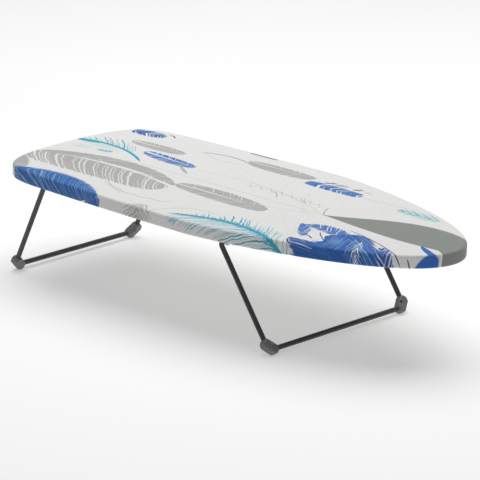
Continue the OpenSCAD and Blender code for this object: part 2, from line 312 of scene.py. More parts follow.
def board_outline(count, node="cover"):
    """The CAD node's top outline at equal steps, with its outward normals: its corners are sorted by their
    angle round the middle, walked by length, and averaged with their neighbours over a few millimetres."""
    points = cad_points(node)
    top = points[points[:, 2] > points[:, 2].max() - 1e-5][:, :2]
    top = np.unique(np.round(top, 6), axis=0)
    top = top[np.argsort(np.arctan2(top[:, 1], top[:, 0]))]
    closed = np.vstack([top, top[:1]])
    walked = np.concatenate([[0], np.cumsum(np.linalg.norm(np.diff(closed, axis=0), axis=1))])
    steps = np.arange(count) / count * walked[-1]
    line = np.stack([np.interp(steps, walked, closed[:, axis]) for axis in (0, 1)], axis=-1)
    for _ in range(3):
        line = 0.25 * np.roll(line, 1, axis=0) + 0.5 * line + 0.25 * np.roll(line, -1, axis=0)
    tangent = np.roll(line, -1, axis=0) - np.roll(line, 1, axis=0)
    tangent /= np.linalg.norm(tangent, axis=1)[:, None]
    return line, np.stack([tangent[:, 1], -tangent[:, 0]], axis=-1), walked[-1]


def arc(middle, radius, start, stop, steps):
    """Points (inset, height) on an arc, its angles in degrees from the inward direction."""
    angle = np.radians(np.linspace(start, stop, steps))
    return np.stack([middle[0] + radius * np.cos(angle), middle[1] + radius * np.sin(angle)], axis=-1)


def straight(first, last, steps):
    """Points on a straight line, both ends left out."""
    share = np.linspace(0, 1, steps + 2)[1:-1, None]
    return np.array(first) * (1 - share) + np.array(last) * share


def disc(ring, count):
    """Rings from near a ring's middle line out to just inside it, all at its height: the k-th of them is
    the ring times k / count. Also the shares, shape (count - 1, 1, 1)."""
    share = (np.arange(1, count) / count)[:, None, None]
    return ring[None] * np.concatenate([share, share, np.ones_like(share)], axis=-1), share


def rings_from(line, normal, profile):
    """One ring for each profile point: the outline moved in by the point's inset, at the point's height."""
    inset, height = profile[:, 0], profile[:, 1]
    flat = line[None] - normal[None] * inset[:, None, None]
    return np.concatenate([flat, np.broadcast_to(height[:, None, None], flat.shape[:2] + (1,))], axis=-1)


def tube(path, side, radius, around=28):
    """Rings of a round rod along a flat path, each ring's point at radius times (cosine of its angle times
    the path plane's normal, side, plus sine of it times the tangent crossed with side). Both ends are
    closed by smaller rings that round their edges."""
    tangent = np.gradient(path, axis=0)
    tangent /= np.linalg.norm(tangent, axis=1)[:, None]
    across = np.cross(tangent, side)
    angle = 2 * math.pi * np.arange(around) / around
    circle = np.cos(angle)[None, :, None] * side[None, None] + np.sin(angle)[None, :, None] * across[:, None]
    rounding = 0.12 * radius
    rings = path[:, None] + radius * circle
    caps = []
    for end, sign in ((0, -1), (-1, 1)):
        turn = np.radians([90, 60, 30])
        caps.append(path[end] + (radius - rounding + rounding * np.cos(turn))[:, None, None] * circle[end]
                    + sign * (rounding * np.sin(turn))[:, None, None] * tangent[end])
    return np.concatenate([caps[0], rings, caps[1][::-1]])


def spun(profile, origin, axis, around=24):
    """A profile of (radius, height) turned round an axis through origin: closed at both poles."""
    axis = np.array(axis, dtype=float)
    axis /= np.linalg.norm(axis)
    other = np.cross(axis, (0, 0, 1) if abs(axis[2]) < 0.9 else (1, 0, 0))
    other /= np.linalg.norm(other)
    third = np.cross(axis, other)
    angle = 2 * math.pi * np.arange(around) / around
    circle = np.cos(angle)[:, None] * other + np.sin(angle)[:, None] * third
    profile = np.array(profile, dtype=float)
    rings = np.array(origin) + profile[:, 0, None, None] * circle + profile[:, 1, None, None] * axis
    return skin(rings, True, True)


# ---------- Node helpers ----------


class Graph:
    """Adds nodes to a tree. An input is a number, a colour, a vector or another node's output."""

    def __init__(self, tree):
        self.tree = tree

    def add(self, kind, inputs, out=0, **settings):
        node = self.tree.nodes.new(kind)
        for title, value in settings.items():
            setattr(node, title, value)
        for key, value in inputs.items():
            socket = node.inputs[key]
            if isinstance(value, bpy.types.NodeSocket):
                self.tree.links.new(value, socket)
            else:
                socket.default_value = value
        return node.outputs[out]

    def math(self, operation, first, second=0.0, third=0.0, clamp=False):
        return self.add("ShaderNodeMath", {0: first, 1: second, 2: third}, operation=operation, use_clamp=clamp)

    def span(self, value, low, high, to_low=0.0, to_high=1.0):
        """value's place between low and high, clamped and scaled to the second range."""
        return self.add("ShaderNodeMapRange", {0: value, 1: low, 2: high, 3: to_low, 4: to_high})

    def mix(self, share, first, second):
        """A colour share of the way from first to second."""
        return self.add("ShaderNodeMix", {0: share, 6: rgba(first), 7: rgba(second)}, out=2, data_type="RGBA")

    def noise(self, place, scale, detail=2.0, roughness=0.5):
        return self.add("ShaderNodeTexNoise", {
            "Vector": place, "Scale": scale, "Detail": detail, "Roughness": roughness})

    def scaled(self, place, share):
        """A vector times a number."""
        return self.add("ShaderNodeVectorMath", {0: place, "Scale": share}, operation="SCALE")

    def hump(self, share):
        """4 s (1 - s) of a share s: 0 at both ends and 1 in the middle."""
        return self.math("MULTIPLY", self.math("MULTIPLY", share, 4.0), self.math("SUBTRACT", 1.0, share))

    def attribute(self, title):
        """A vector that the piece's points carry."""
        return self.add("ShaderNodeAttribute", {}, out=1, attribute_name=title)

    def local(self, place, start, along, across):
        """How far place is from start, along each of two directions."""
        away = self.add("ShaderNodeVectorMath", {0: place, 1: start}, operation="SUBTRACT")
        return [self.add("ShaderNodeVectorMath", {0: away, 1: way}, out=1, operation="DOT_PRODUCT")
                for way in (along, across)]


def rgba(value):
    """Three numbers as a colour with full alpha. Anything else is left as it is."""
    if isinstance(value, bpy.types.NodeSocket) or len(value) == 4:
        return value
    return (*value, 1.0)


def shaded(base, share):
    """A colour times share, with no channel past 1."""
    return tuple(min(1.0, channel * share) for channel in base)


def node_group(name, inputs, outputs):
    """An empty shader node group, with (title, default) inputs and titles of its outputs.
    A default of length 3 makes a vector input."""
    tree = bpy.data.node_groups.new(name, "ShaderNodeTree")
    for title, default in inputs:
        kind = "NodeSocketVector" if isinstance(default, tuple) else "NodeSocketFloat"
        socket = tree.interface.new_socket(title, in_out="INPUT", socket_type=kind)
        socket.default_value = default
    for title in outputs:
        tree.interface.new_socket(title, in_out="OUTPUT", socket_type="NodeSocketFloat")
    return tree, Graph(tree), tree.nodes.new("NodeGroupInput").outputs, tree.nodes.new("NodeGroupOutput").inputs


ORIGIN = (0.0, 0.0, 0.0)

# What every printed mark takes in
MARK = [("Place", ORIGIN), ("Start", ORIGIN), ("Along", (1.0, 0.0, 0.0)), ("Across", (0.0, 1.0, 0.0))]


def mark_group(name, inputs, outputs):
    """A node group for a printed mark, and how far its place is from its start, along and across it."""
    tree, graph, given, put = node_group(name, MARK + inputs, outputs)
    return tree, graph, given, put, graph.local(*(given[title] for title, _ in MARK))


def grain_group():
    """Fine, even mottling: a coarse noise for shade, and a coarse and a fine noise added up for height."""
    tree, graph, given, put = node_group("Grain", [
        ("Place", ORIGIN), ("Scale", 400.0), ("Stretch", (1.0, 1.0, 1.0))], ["Shade", "Height"])
    place = graph.add("ShaderNodeVectorMath", {0: given["Place"], 1: given["Stretch"]}, operation="MULTIPLY")
    fine = graph.noise(place, given["Scale"], 3.0, 0.6)
    coarse = graph.noise(place, graph.math("MULTIPLY", given["Scale"], 0.08), 2.0)
    tree.links.new(coarse, put["Shade"])
    tree.links.new(graph.math("MULTIPLY_ADD", coarse, 0.6, fine), put["Height"])
    return tree


def weave_group():
    """Plain weave: the product of two crossed sines without their signs, and a noise drawn out along the
    first direction for the unevenness of its threads."""
    tree, graph, given, put = node_group("Weave", [("Place", ORIGIN), ("Thread", 0.5)], ["Height", "Slub"])
    apart = graph.add("ShaderNodeSeparateXYZ", {0: given["Place"]}).node.outputs
    rate = graph.math("DIVIDE", math.pi, given["Thread"])
    warp, weft = (graph.math("ABSOLUTE", graph.math("SINE", graph.math("MULTIPLY", apart[axis], rate)))
                  for axis in (0, 1))
    tree.links.new(graph.math("MULTIPLY", warp, weft), put["Height"])
    drawn_out = graph.add("ShaderNodeVectorMath", {0: given["Place"], 1: (0.08, 1.2, 1.0)}, operation="MULTIPLY")
    tree.links.new(graph.noise(drawn_out, 1.0, 2.0), put["Slub"])
    return tree


def feather_group():
    """A printed feather. With s the share of its length and y the distance from its bowed shaft, its vane
    reaches a side's width times a power of 4 p (1 - p), where p is a power of s. Barbs are a noise along
    s plus slope times y, plus curl times y times the share of the way out: it frays the edge, parts the
    vane where it is over Close less Gaps times the share of the way out, and streaks the ink."""
    tree, graph, given, put, apart = mark_group("Feather", [
        ("Length", 100.0), ("Bow", 0.0), ("Left", 10.0), ("Right", 10.0), ("Skew", 1.0), ("Fullness", 0.5),
        ("Shaft", 1.0), ("Slope", 1.0), ("Curl", 0.0), ("Barb", 3.0), ("Close", 0.24), ("Gaps", 0.3),
        ("Ragged", 0.3), ("Seed", 0.0), ("Warp", 0.0)], ["Edge", "Vane", "Shaft", "Streak"])
    share = graph.math("DIVIDE", apart[0], given["Length"], clamp=True)
    hump = graph.hump(share)
    off = graph.math("SUBTRACT", apart[1], graph.math("MULTIPLY", hump, given["Bow"]))
    away = graph.math("ABSOLUTE", off)
    lens = graph.hump(graph.math("POWER", share, given["Skew"]))
    side = graph.math("GREATER_THAN", off, 0.0)
    reach = graph.math("MULTIPLY_ADD", side, graph.math("SUBTRACT", given["Left"], given["Right"]), given["Right"])
    wide = graph.math("MULTIPLY", graph.math("POWER", lens, given["Fullness"]), reach)
    out = graph.math("DIVIDE", away, graph.math("MAXIMUM", wide, 0.01))
    lean = graph.math("MULTIPLY_ADD", graph.math("MINIMUM", out, 1.5), given["Curl"], given["Slope"])
    barb = graph.math("ADD", graph.math("MULTIPLY_ADD", away, lean, apart[0]), given["Warp"])
    barb = graph.math("ADD", graph.math("DIVIDE", barb, given["Barb"]), given["Seed"])
    noise = graph.add("ShaderNodeTexNoise", {"W": barb, "Scale": 1.0, "Detail": 2.0}, noise_dimensions="1D")
    swing = graph.math("SUBTRACT", noise, 0.5)
    edge = graph.span(graph.math("MULTIPLY_ADD", swing, given["Ragged"], out), 1.0, 0.95)
    limit = graph.math("MULTIPLY_ADD", graph.math("MULTIPLY", out, given["Gaps"]), -0.3, given["Close"])
    shut = graph.span(graph.math("SUBTRACT", swing, limit), 0.0, 0.03, 1.0, 0.0)
    tree.links.new(edge, put["Edge"])
    tree.links.new(graph.math("MULTIPLY", edge, shut), put["Vane"])
    tree.links.new(graph.span(swing, -0.12, 0.12), put["Streak"])
    thick = graph.math("MULTIPLY", given["Shaft"], graph.math("SUBTRACT", 1.2, share))
    thick = graph.math("MULTIPLY", graph.math("MULTIPLY", hump, 6.0, clamp=True), thick)
    tree.links.new(graph.span(graph.math("SUBTRACT", thick, away), 0.0, 0.4), put["Shaft"])
    return tree


def stroke_group():
    """A drawn line, bowed, waved and thinned to its ends: it covers what lies within half its width of
    the bow's parabola plus a sine."""
    tree, graph, given, put, apart = mark_group("Stroke", [
        ("Length", 100.0), ("Bow", 0.0), ("Width", 1.0), ("Wave", 0.0), ("Wavelength", 12.0)], ["Mask"])
    hump = graph.hump(graph.math("DIVIDE", apart[0], given["Length"], clamp=True))
    radian = graph.math("DIVIDE", given["Wavelength"], 2 * math.pi)
    sine = graph.math("SINE", graph.math("DIVIDE", apart[0], radian))
    line = graph.math("MULTIPLY_ADD", hump, given["Bow"], graph.math("MULTIPLY", sine, given["Wave"]))
    away = graph.math("ABSOLUTE", graph.math("SUBTRACT", apart[1], line))
    half = graph.math("MULTIPLY", given["Width"], 0.5)
    thick = graph.math("MULTIPLY", graph.math("MULTIPLY", hump, 3.0, clamp=True), half)
    tree.links.new(graph.span(graph.math("SUBTRACT", thick, away), -0.15, 0.15), put["Mask"])
    return tree


def patch_group():
    """A painted patch: an ellipse about Start whose edge a streaky noise moves in and out. Along and Across
    are directions over the ellipse's half sizes."""
    tree, graph, given, put, (x, y) = mark_group("Patch", [
        ("Fine", 4.0), ("Ragged", 0.5), ("Soft", 0.1)], ["Mask"])
    far = graph.math("SQRT", graph.math("MULTIPLY_ADD", x, x, graph.math("MULTIPLY", y, y)))
    drawn_out = graph.add("ShaderNodeCombineXYZ", {0: x, 1: graph.math("MULTIPLY", y, given["Fine"])})
    streaks = graph.noise(drawn_out, 1.5, 3.0, 0.6)
    edge = graph.math("MULTIPLY_ADD", graph.math("SUBTRACT", streaks, 0.5), given["Ragged"], far)
    tree.links.new(graph.span(edge, 1.0, graph.math("SUBTRACT", 1.0, given["Soft"])), put["Mask"])
    return tree


GROUP_MAKERS = {"grain": grain_group, "weave": weave_group, "feather": feather_group, "stroke": stroke_group,
                "patch": patch_group}
GROUPS = {}


def shared(name):
    """The shader node group of that name, built when it is first asked for."""
    if name not in GROUPS:
        GROUPS[name] = GROUP_MAKERS[name]()
    return GROUPS[name]


def directions(run, long=1.0, wide=1.0):
    """The direction of run over long, and the one square to it, to its left, over wide."""
    size = math.hypot(*run)
    x, y = run[0] / size, run[1] / size
    return {"Along": (x / long, y / long, 0), "Across": (-y / wide, x / wide, 0)}


def use_group(graph, name, inputs, out=0):
    """An instance of a shared group in a material."""
    node = graph.tree.nodes.new("ShaderNodeGroup")
    node.node_tree = shared(name)
    for key, value in inputs.items():
        if isinstance(value, bpy.types.NodeSocket):
            graph.tree.links.new(value, node.inputs[key])
        else:
            node.inputs[key].default_value = value
    return node.outputs if out is None else node.outputs[out]


def new_material(name, **sockets):
    """A material with a Principled shader, its constants set on the shader's own sockets."""
    material = bpy.data.materials.new(name)
    material.use_nodes = True
    shader = material.node_tree.nodes["Principled BSDF"]
    for title, value in sockets.items():
        shader.inputs[title.replace("_", " ")].default_value = value
    return material, Graph(material.node_tree), shader


def feed(graph, shader, height=None, distance=0.0001, strength=1.0, **sockets):
    """Links outputs to the shader, and a height to its normal through a Bump."""
    for title, value in sockets.items():
        graph.tree.links.new(value, shader.inputs[title.replace("_", " ")])
    if height is not None:
        bump = graph.add("ShaderNodeBump", {"Height": height, "Distance": distance, "Strength": strength})
        graph.tree.links.new(bump, shader.inputs["Normal"])


def object_place(graph):
    """The piece's Object coordinates."""
    return graph.add("ShaderNodeTexCoord", {}, out=3)


def grained(name, base, rough, scale, depth, shade=0.15, stretch=(1, 1, 1), **sockets):
    """A finish whose colour, roughness and height follow a fine grain."""
    material, graph, shader = new_material(name, **sockets)
    grain = use_group(graph, "grain", {"Place": object_place(graph), "Scale": scale, "Stretch": stretch}, out=None)
    tint = graph.mix(graph.span(grain["Shade"], 0.3, 0.7), shaded(base, 1 - shade), shaded(base, 1 + shade))
    feed(graph, shader, grain["Height"], depth, Base_Color=tint,
         Roughness=graph.span(grain["Shade"], 0.3, 0.7, rough - 0.06, rough + 0.06))
    return material


# ---------- The cover's print ----------


# How far apart the feathers' barbs are read from the noise
SEED_STEP = 17.3


class Print:
    """Lays printed marks over the cotton, one over another. Places and sizes are in millimetres on the
    cover laid flat: x to the nose, y to the far side, past the edge along the cover's own surface."""

    def __init__(self, graph, place, ground):
        self.graph, self.place, self.ground, self.painted = graph, place, ground, ground
        self.warp = graph.math("MULTIPLY_ADD", graph.noise(place, 0.07, 3.0), 9.0, -4.5)
        self.count = 0

    def lay(self, mask, ink):
        self.painted = self.graph.mix(mask, self.painted, ink)

    def between(self, start, stop):
        """The inputs of a mark that runs from start to stop."""
        run = (stop[0] - start[0], stop[1] - start[1])
        return {"Place": self.place, "Start": (*start, 0), **directions(run), "Length": math.hypot(*run)}

    def feather(self, start, stop, left, right, ink, deep=None, bow=0.0, shaft=0.0, skew=1.0, fullness=0.5,
                slope=1.0, curl=0.0, barb=3.0, close=0.24, gaps=0.1, ragged=0.2, under=None):
        """A feather from its quill's start to its tip, left and right wide on its two sides. Its barbs
        streak from ink to deep, over under, and its shaft shows the ground."""
        self.count += 1
        put = use_group(self.graph, "feather", {
            **self.between(start, stop), "Bow": bow, "Left": left, "Right": right, "Skew": skew,
            "Fullness": fullness, "Shaft": shaft, "Slope": slope, "Curl": curl, "Barb": barb, "Close": close,
            "Gaps": gaps, "Ragged": ragged, "Seed": SEED_STEP * self.count, "Warp": self.warp}, out=None)
        if under:
            self.lay(put["Edge"], under)
        self.lay(put["Vane"], self.graph.mix(put["Streak"], ink, deep) if deep else ink)
        if shaft:
            self.lay(put["Shaft"], self.ground)

    def stroke(self, start, stop, width, ink, bow=0.0, wave=0.0, wavelength=12.0):
        """A line from start to stop."""
        self.lay(use_group(self.graph, "stroke", {
            **self.between(start, stop), "Bow": bow, "Width": width, "Wave": wave, "Wavelength": wavelength}), ink)

    def patch(self, middle, half_long, half_wide, ink, turn=0.0, ragged=0.8, soft=0.15, fine=3.0):
        """A patch about its middle, turned by degrees."""
        run = math.cos(math.radians(turn)), math.sin(math.radians(turn))
        self.lay(use_group(self.graph, "patch", {
            "Place": self.place, "Start": (*middle, 0), **directions(run, half_long, half_wide),
            "Fine": fine, "Ragged": ragged, "Soft": soft}), ink)


def lay_print(lay, settings):
    """Loose feathers in greys, blues and teal, with fine lines between them, from the square end to the nose."""
    white, grey, blue, navy, teal, mint, ice, violet, nose = (rgba(getattr(settings, ink)) for ink in (
        "white", "grey", "blue", "navy", "teal", "mint", "ice", "violet", "nose_grey"))

    def blend(first, second, share):
        """An ink share of the way from first to second."""
        return tuple(a * (1 - share) + b * share for a, b in zip(first, second))

    pale_grey, dusk = blend(grey, white, 0.5), blend(grey, nose, 0.3)
    sky, pale_mint = blend(blue, ice, 0.45), blend(mint, white, 0.45)
    sea = blend(blend(navy, teal, 0.12), blue, 0.15)

    # Square end: big grey feather, dark blue one over the near edge, teal quill, small blue corner
    lay.feather((-354, -56), (-102, -46), 19, 6, grey, dusk, bow=25, fullness=0.4, slope=-2.2, barb=9.0,
                close=0.19, gaps=0.1, ragged=0.5)
    lay.feather((-360, -60), (-102, -56), 3, 54, grey, dusk, bow=17, fullness=0.3, close=0.08, gaps=0.10,
                slope=-0.5, curl=-0.45, barb=4.6, ragged=0.3)
    # A grey feather down the near corner of the square end and over its edge: painted shade of that corner, laid
    # in grey ink.
    lay.feather((-370, -88), (-312, -134), 15, 14, grey, dusk, fullness=0.4, slope=-0.5, ragged=0.8)
    lay.stroke((-190, -42), (-106, -45), 1.6, grey, bow=3)
    lay.feather((-326, -142), (-138, -160), 9, 84, blue, sea, bow=27, fullness=0.3, close=0.10, gaps=0.12,
                slope=-0.75, curl=-0.6, barb=2.4, ragged=2.2, under=ice)
    lay.stroke((-282, -122), (-244, -180), 1.4, ice, bow=4)
    lay.stroke((-214, -178), (-166, -163), 3.5, white, bow=-2)
    lay.patch((-312, 30), 48, 24, pale_mint, ragged=2.2, soft=0.9)
    lay.patch((-330, 2), 22, 12, pale_mint, ragged=2.2, soft=0.9)
    lay.feather((-258, 26), (-362, 28), 0, 26, teal, mint, bow=-7, fullness=0.35, slope=-1.3, barb=4.0,
                close=-0.07, gaps=0.2, ragged=0.8)
    lay.stroke((-216, 3), (-366, 26), 5.0, teal, bow=-19)
    lay.feather((-370, 24), (-322, 33), 4, 6, teal, fullness=0.5, gaps=0.6, slope=1.0, ragged=0.8)
    lay.feather((-304, 5), (-278, 11), 4, 5, teal, mint, close=0.05, ragged=0.9)
    lay.feather((-338, 111), (-281, 117), 14, 11, blue, navy, fullness=0.3, close=0.09, gaps=0.3, slope=-0.9,
                barb=4.0, ragged=0.6)
    lay.feather((-301, 74), (-200, 76), 10, 15, grey, dusk, shaft=1.4, fullness=0.35, close=0.2, gaps=0.25,
                slope=0.9, barb=3.2, ragged=0.4)
    lay.feather((-248, 46), (-144, 38), 10, 15, blue, sky, shaft=2.2, fullness=0.35, close=0.17, gaps=0.3,
                slope=0.9, barb=3.6, ragged=0.5)
    lay.feather((-168, 32), (-128, 7), 2, 3, grey, fullness=0.6, ragged=0.5)
    lay.stroke((-192, 98), (-105, 106), 1.5, violet, bow=10)
    lay.stroke((-190, 104), (-100, 98), 1.5, pale_grey, bow=-12)
    lay.stroke((-285, 130), (-268, 124), 2.0, violet, bow=3)

    # Middle: three grey lenses, a blue comb and the long fine lines that meet at the grey nose
    lay.feather((-112, 116), (10, 117), 9, 19, grey, dusk, shaft=1.3, fullness=0.3, close=0.2, gaps=0.25,
                slope=0.6, barb=3.4, ragged=0.4)
    lay.feather((-104, -36), (66, -42), 19, 21, grey, dusk, bow=3, shaft=1.5, fullness=0.36, close=0.22,
                gaps=0.30, slope=0.9, barb=3.2, ragged=0.35)
    lay.feather((12, 97), (112, 98), 12, 10, blue, sky, fullness=0.16, close=0.09, gaps=0.02, slope=-0.7,
                barb=7.0, ragged=0.25)
    lay.feather((20, 110), (112, 116), 9, 0, violet, blue, fullness=0.3, close=-0.04, gaps=0.2, slope=-1.2,
                barb=7.0, ragged=0.6)
    lay.stroke((-150, 27), (134, -2), 1.5, pale_grey, bow=26)
    lay.stroke((-222, -2), (134, -2), 1.4, pale_grey)
    lay.stroke((-96, -29), (134, -2), 1.5, pale_grey, bow=-16)
    lay.stroke((-40, 29), (116, 22), 1.6, grey, bow=6, wave=4.5, wavelength=19)
    lay.stroke((10, 33), (34, 12), 1.5, dusk, bow=3)
    lay.stroke((66, 36), (82, 20), 1.5, dusk, bow=-2)
    lay.stroke((118, 28), (136, -2), 1.8, dusk, bow=-3)
    lay.stroke((100, 96), (215, 104), 1.4, pale_grey, bow=-3)
    lay.stroke((-180, -98), (-40, -104), 1.5, grey, bow=-16, wave=1.5, wavelength=31)
    lay.stroke((-182, -98), (-150, -112), 1.4, grey, wave=2.2, wavelength=7)
    lay.stroke((-150, -112), (-128, -122), 1.4, grey, wave=1.6, wavelength=6)
    lay.stroke((-142, 146), (-88, 147), 4.0, nose)

    # Near edge: grey barbs and the big teal feather
    lay.feather((-64, -138), (-66, -212), 24, 24, grey, dusk, fullness=0.5, close=0.04, gaps=0.3, slope=-0.9,
                barb=2.6, ragged=1.3)
    lay.stroke((-44, -166), (42, -103), 1.4, grey, bow=26)
    lay.patch((150, -110), 22, 12, pale_mint, ragged=1.4, soft=0.9)
    lay.feather((-8, -140), (204, -166), 24, 0, teal, mint, bow=38, fullness=0.3, close=-0.04, gaps=0.35,
                slope=0.8, barb=3.2, ragged=0.9)
    lay.feather((-8, -140), (204, -166), 0, 46, teal, mint, bow=38, fullness=0.35, close=-0.02, gaps=0.25,
                slope=1.1, barb=3.2, ragged=0.9)
    lay.feather((-6, -140), (202, -165), 6, 9, teal, mint, bow=37, fullness=0.4, close=0.04, gaps=0.3,
                slope=2.0, barb=5.0, ragged=1.1)
    lay.stroke((-20, -146), (216, -170), 6.0, teal, bow=40)

    # Nose: the blue cluster, the grey shape and the patches that wrap over the edge
    lay.feather((148, -50), (240, -72), 19, 7, blue, sky, bow=8, fullness=0.35, close=0.15, gaps=0.4,
                slope=1.0, barb=3.2, ragged=0.8)
    lay.feather((138, -48), (178, -92), 13, 5, blue, sky, skew=1.4, fullness=0.6, close=0.16, gaps=0.4,
                slope=2.0, barb=4.0, ragged=0.8)
    lay.feather((218, -44), (332, -170), 38, 52, blue, navy, fullness=0.32, close=0.10, gaps=0.12,
                slope=-2.6, barb=7.0, ragged=0.5, under=sky)
    lay.feather((172, -106), (330, -150), 15, 52, blue, navy, bow=9, skew=1.3, fullness=0.7, close=0.11,
                gaps=0.1, slope=4.0, barb=8.0, ragged=1.2)
    lay.patch((228, -78), 20, 12, sky, turn=-60, ragged=1.6, soft=0.9)
    lay.feather((236, -50), (300, -130), 18, 10, ice, white, fullness=0.5, close=-0.1, gaps=0.1, slope=-3.0,
                barb=6.0, ragged=0.8)
    lay.feather((252, -56), (286, -114), 6, 6, white, fullness=0.5, close=-0.04, gaps=0.2, slope=-4.0,
                barb=7.0, ragged=0.6)
    lay.feather((286, -56), (352, -122), 12, 10, blue, navy, fullness=0.4, close=0.12, gaps=0.4, slope=2.4,
                barb=5.0, ragged=0.7)
    lay.feather((174, -64), (212, -92), 9, 12, white, fullness=0.5, ragged=0.6)
    lay.patch((326, -98), 14, 7, white, turn=-46, ragged=0.8)
    lay.stroke((184, -62), (226, -92), 1.5, violet, bow=-3)
    lay.stroke((205, -29), (340, -78), 1.6, violet, bow=7)
    lay.stroke((334, -60), (376, -94), 1.8, violet, bow=2)
    lay.stroke((306, -84), (352, -118), 1.8, violet, bow=-2)
    lay.stroke((172, -84), (196, -92), 2.0, violet, bow=3)
    lay.stroke((172, -104), (188, -126), 2.4, violet, bow=-4)
    lay.feather((131, -2), (425, 0), 62, 15, nose, fullness=1.25, skew=1.1, close=1.0, gaps=0.0, ragged=0.03)
    lay.feather((322, 2), (455, -62), 30, 4, nose, fullness=0.8, close=1.0, gaps=0.0, ragged=0.03)
    lay.patch((375, -68), 46, 21, blue, turn=-64, ragged=0.15, soft=0.08)
    lay.feather((318, -14), (380, -46), 4, 6, blue, fullness=0.6, close=1.0, ragged=0.3)
    lay.patch((226, 88), 40, 13, pale_mint, turn=-4, ragged=2.0, soft=0.8)
    lay.feather((186, 88), (262, 86), 12, 10, teal, mint, fullness=0.5, close=0.0, gaps=0.4, slope=2.5,
                barb=6.0, ragged=1.1)


def flat_millimetres(graph):
    """Where each point lies on the cloth or band laid flat, in millimetres."""
    return graph.scaled(graph.attribute("flat_place"), 1000.0)


def stitched(graph, thread, tint):
    """A height and a colour with a row of stitches along the hem, beside the elastic: each stitch stands
    up, and dents the cloth round it."""
    hem = graph.add("ShaderNodeSeparateXYZ", {0: graph.attribute("hem_place")}).node.outputs
    row = graph.math("ABSOLUTE", graph.math("ADD", hem[1], STITCH_ROW))
    count = graph.math("FRACT", graph.math("DIVIDE", hem[0], STITCH_STEP))
    step = graph.math("ABSOLUTE", graph.math("SUBTRACT", count, 0.5))
    stitch = graph.math("MULTIPLY", graph.span(row, 0.5 * MM, 0.3 * MM), graph.span(step, 0.40, 0.34))
    dent = graph.math("MULTIPLY", graph.span(row, 1.8 * MM, 0.4 * MM), graph.span(step, 0.25, 0.5))
    thread = graph.math("MULTIPLY_ADD", stitch, 2.0, graph.math("MULTIPLY_ADD", dent, -2.5, thread))
    return thread, graph.mix(graph.math("MULTIPLY", stitch, 0.5), tint, (0.55, 0.55, 0.53))


def printed_cotton(settings):
    """White woven cotton with its print. The threads' unevenness varies its shade and roughness."""
    material, graph, shader = new_material("Printed cotton", Sheen_Weight=0.12, Specular_IOR_Level=0.25)
    place = flat_millimetres(graph)
    lay = Print(graph, place, rgba(settings.white))
    lay_print(lay, settings)
    weave = use_group(graph, "weave", {"Place": place, "Thread": 0.55}, out=None)
    tint = graph.scaled(lay.painted, graph.span(weave["Slub"], 0.3, 0.7, 0.95, 1.03))
    thread = graph.math("MULTIPLY_ADD", graph.noise(place, 0.02, 3.0), 0.4, weave["Height"])
    thread, tint = stitched(graph, thread, tint)
    feed(graph, shader, thread, 0.00008, 0.7, Base_Color=tint,
         Roughness=graph.span(weave["Slub"], 0.3, 0.7, 0.8, 0.92))
    return material


def foam_finish(settings):
    """Open-cell foam: a cell pattern that dents the surface, and painted shade that darkens its hollows."""
    material, graph, shader = new_material("Pad foam", Roughness=0.95, Specular_IOR_Level=0.2)
    cell = graph.add("ShaderNodeTexVoronoi", {"Vector": object_place(graph), "Scale": 900.0})
    # Painted shade: the foam's colour is darker in the cells' hollows, where the dents are.
    feed(graph, shader, cell, 0.0004, Base_Color=graph.mix(cell, shaded(settings.foam, 0.8), settings.foam))
    return material


def elastic_finish(settings):
    """Woven elastic: fine lengthwise ribs, with the cross threads between them, and painted shade that darkens the
    low parts between the threads.
    """
    material, graph, shader = new_material("Elastic", Roughness=0.85, Sheen_Weight=0.2)
    height = use_group(graph, "weave", {"Place": flat_millimetres(graph), "Thread": 0.5}, out=None)["Height"]
    # Painted shade: the colour is darker where the weave's height is low, between the threads.
    tint = graph.mix(height, shaded(settings.elastic, 0.7), settings.elastic)
    feed(graph, shader, height, 0.0003, Base_Color=tint)
    return material


def zinc_finish(name, base, rough=0.34):
    """Zinc plate: large dull spangles over a fine rolled grain."""
    material, graph, shader = new_material(name, Metallic=1.0)
    place = object_place(graph)
    spangle = graph.add("ShaderNodeTexVoronoi", {"Vector": place, "Scale": 120.0}, out=1)
    level = graph.add("ShaderNodeSeparateColor", {0: spangle})
    grain = use_group(graph, "grain", {"Place": place, "Scale": 900.0, "Stretch": (1.0, 0.15, 1.0)}, out=None)
    feed(graph, shader, grain["Height"], 0.00003, Base_Color=graph.mix(level, shaded(base, 0.8), base),
         Roughness=graph.span(level, 0.0, 1.0, rough - 0.08, rough + 0.12))
    return material


# ---------- Pieces ----------


def cover_profile(settings, top, under):
    """The cover's section as (inset, height), in two runs: over the edge, down the skirt and in under the
    board, then round the elastic, back over it and down in a small curl."""
    upper, lower, casing = settings.top_round, settings.low_round, settings.casing / 2
    fold = settings.hem - casing
    back, over = fold - TURN_BACK, under + settings.casing
    outside = [
        arc((upper, top - upper), upper, 90, 180, 9), straight((0, top - upper), (0, under + lower), 7),
        arc((lower, under + lower), lower, 180, 270, 7), straight((lower, under), (fold, under), 9)]
    inside = [
        arc((fold, under + casing), casing, -90, 90, 7), straight((fold, over), (back, over), 3),
        arc((back, over - CURL), CURL, 90, 180, 4),
        straight((back - CURL, under + CURL_HIGH), (back - CURL, under + CURL_LOW), 2)]
    return np.vstack(outside), np.vstack(inside)


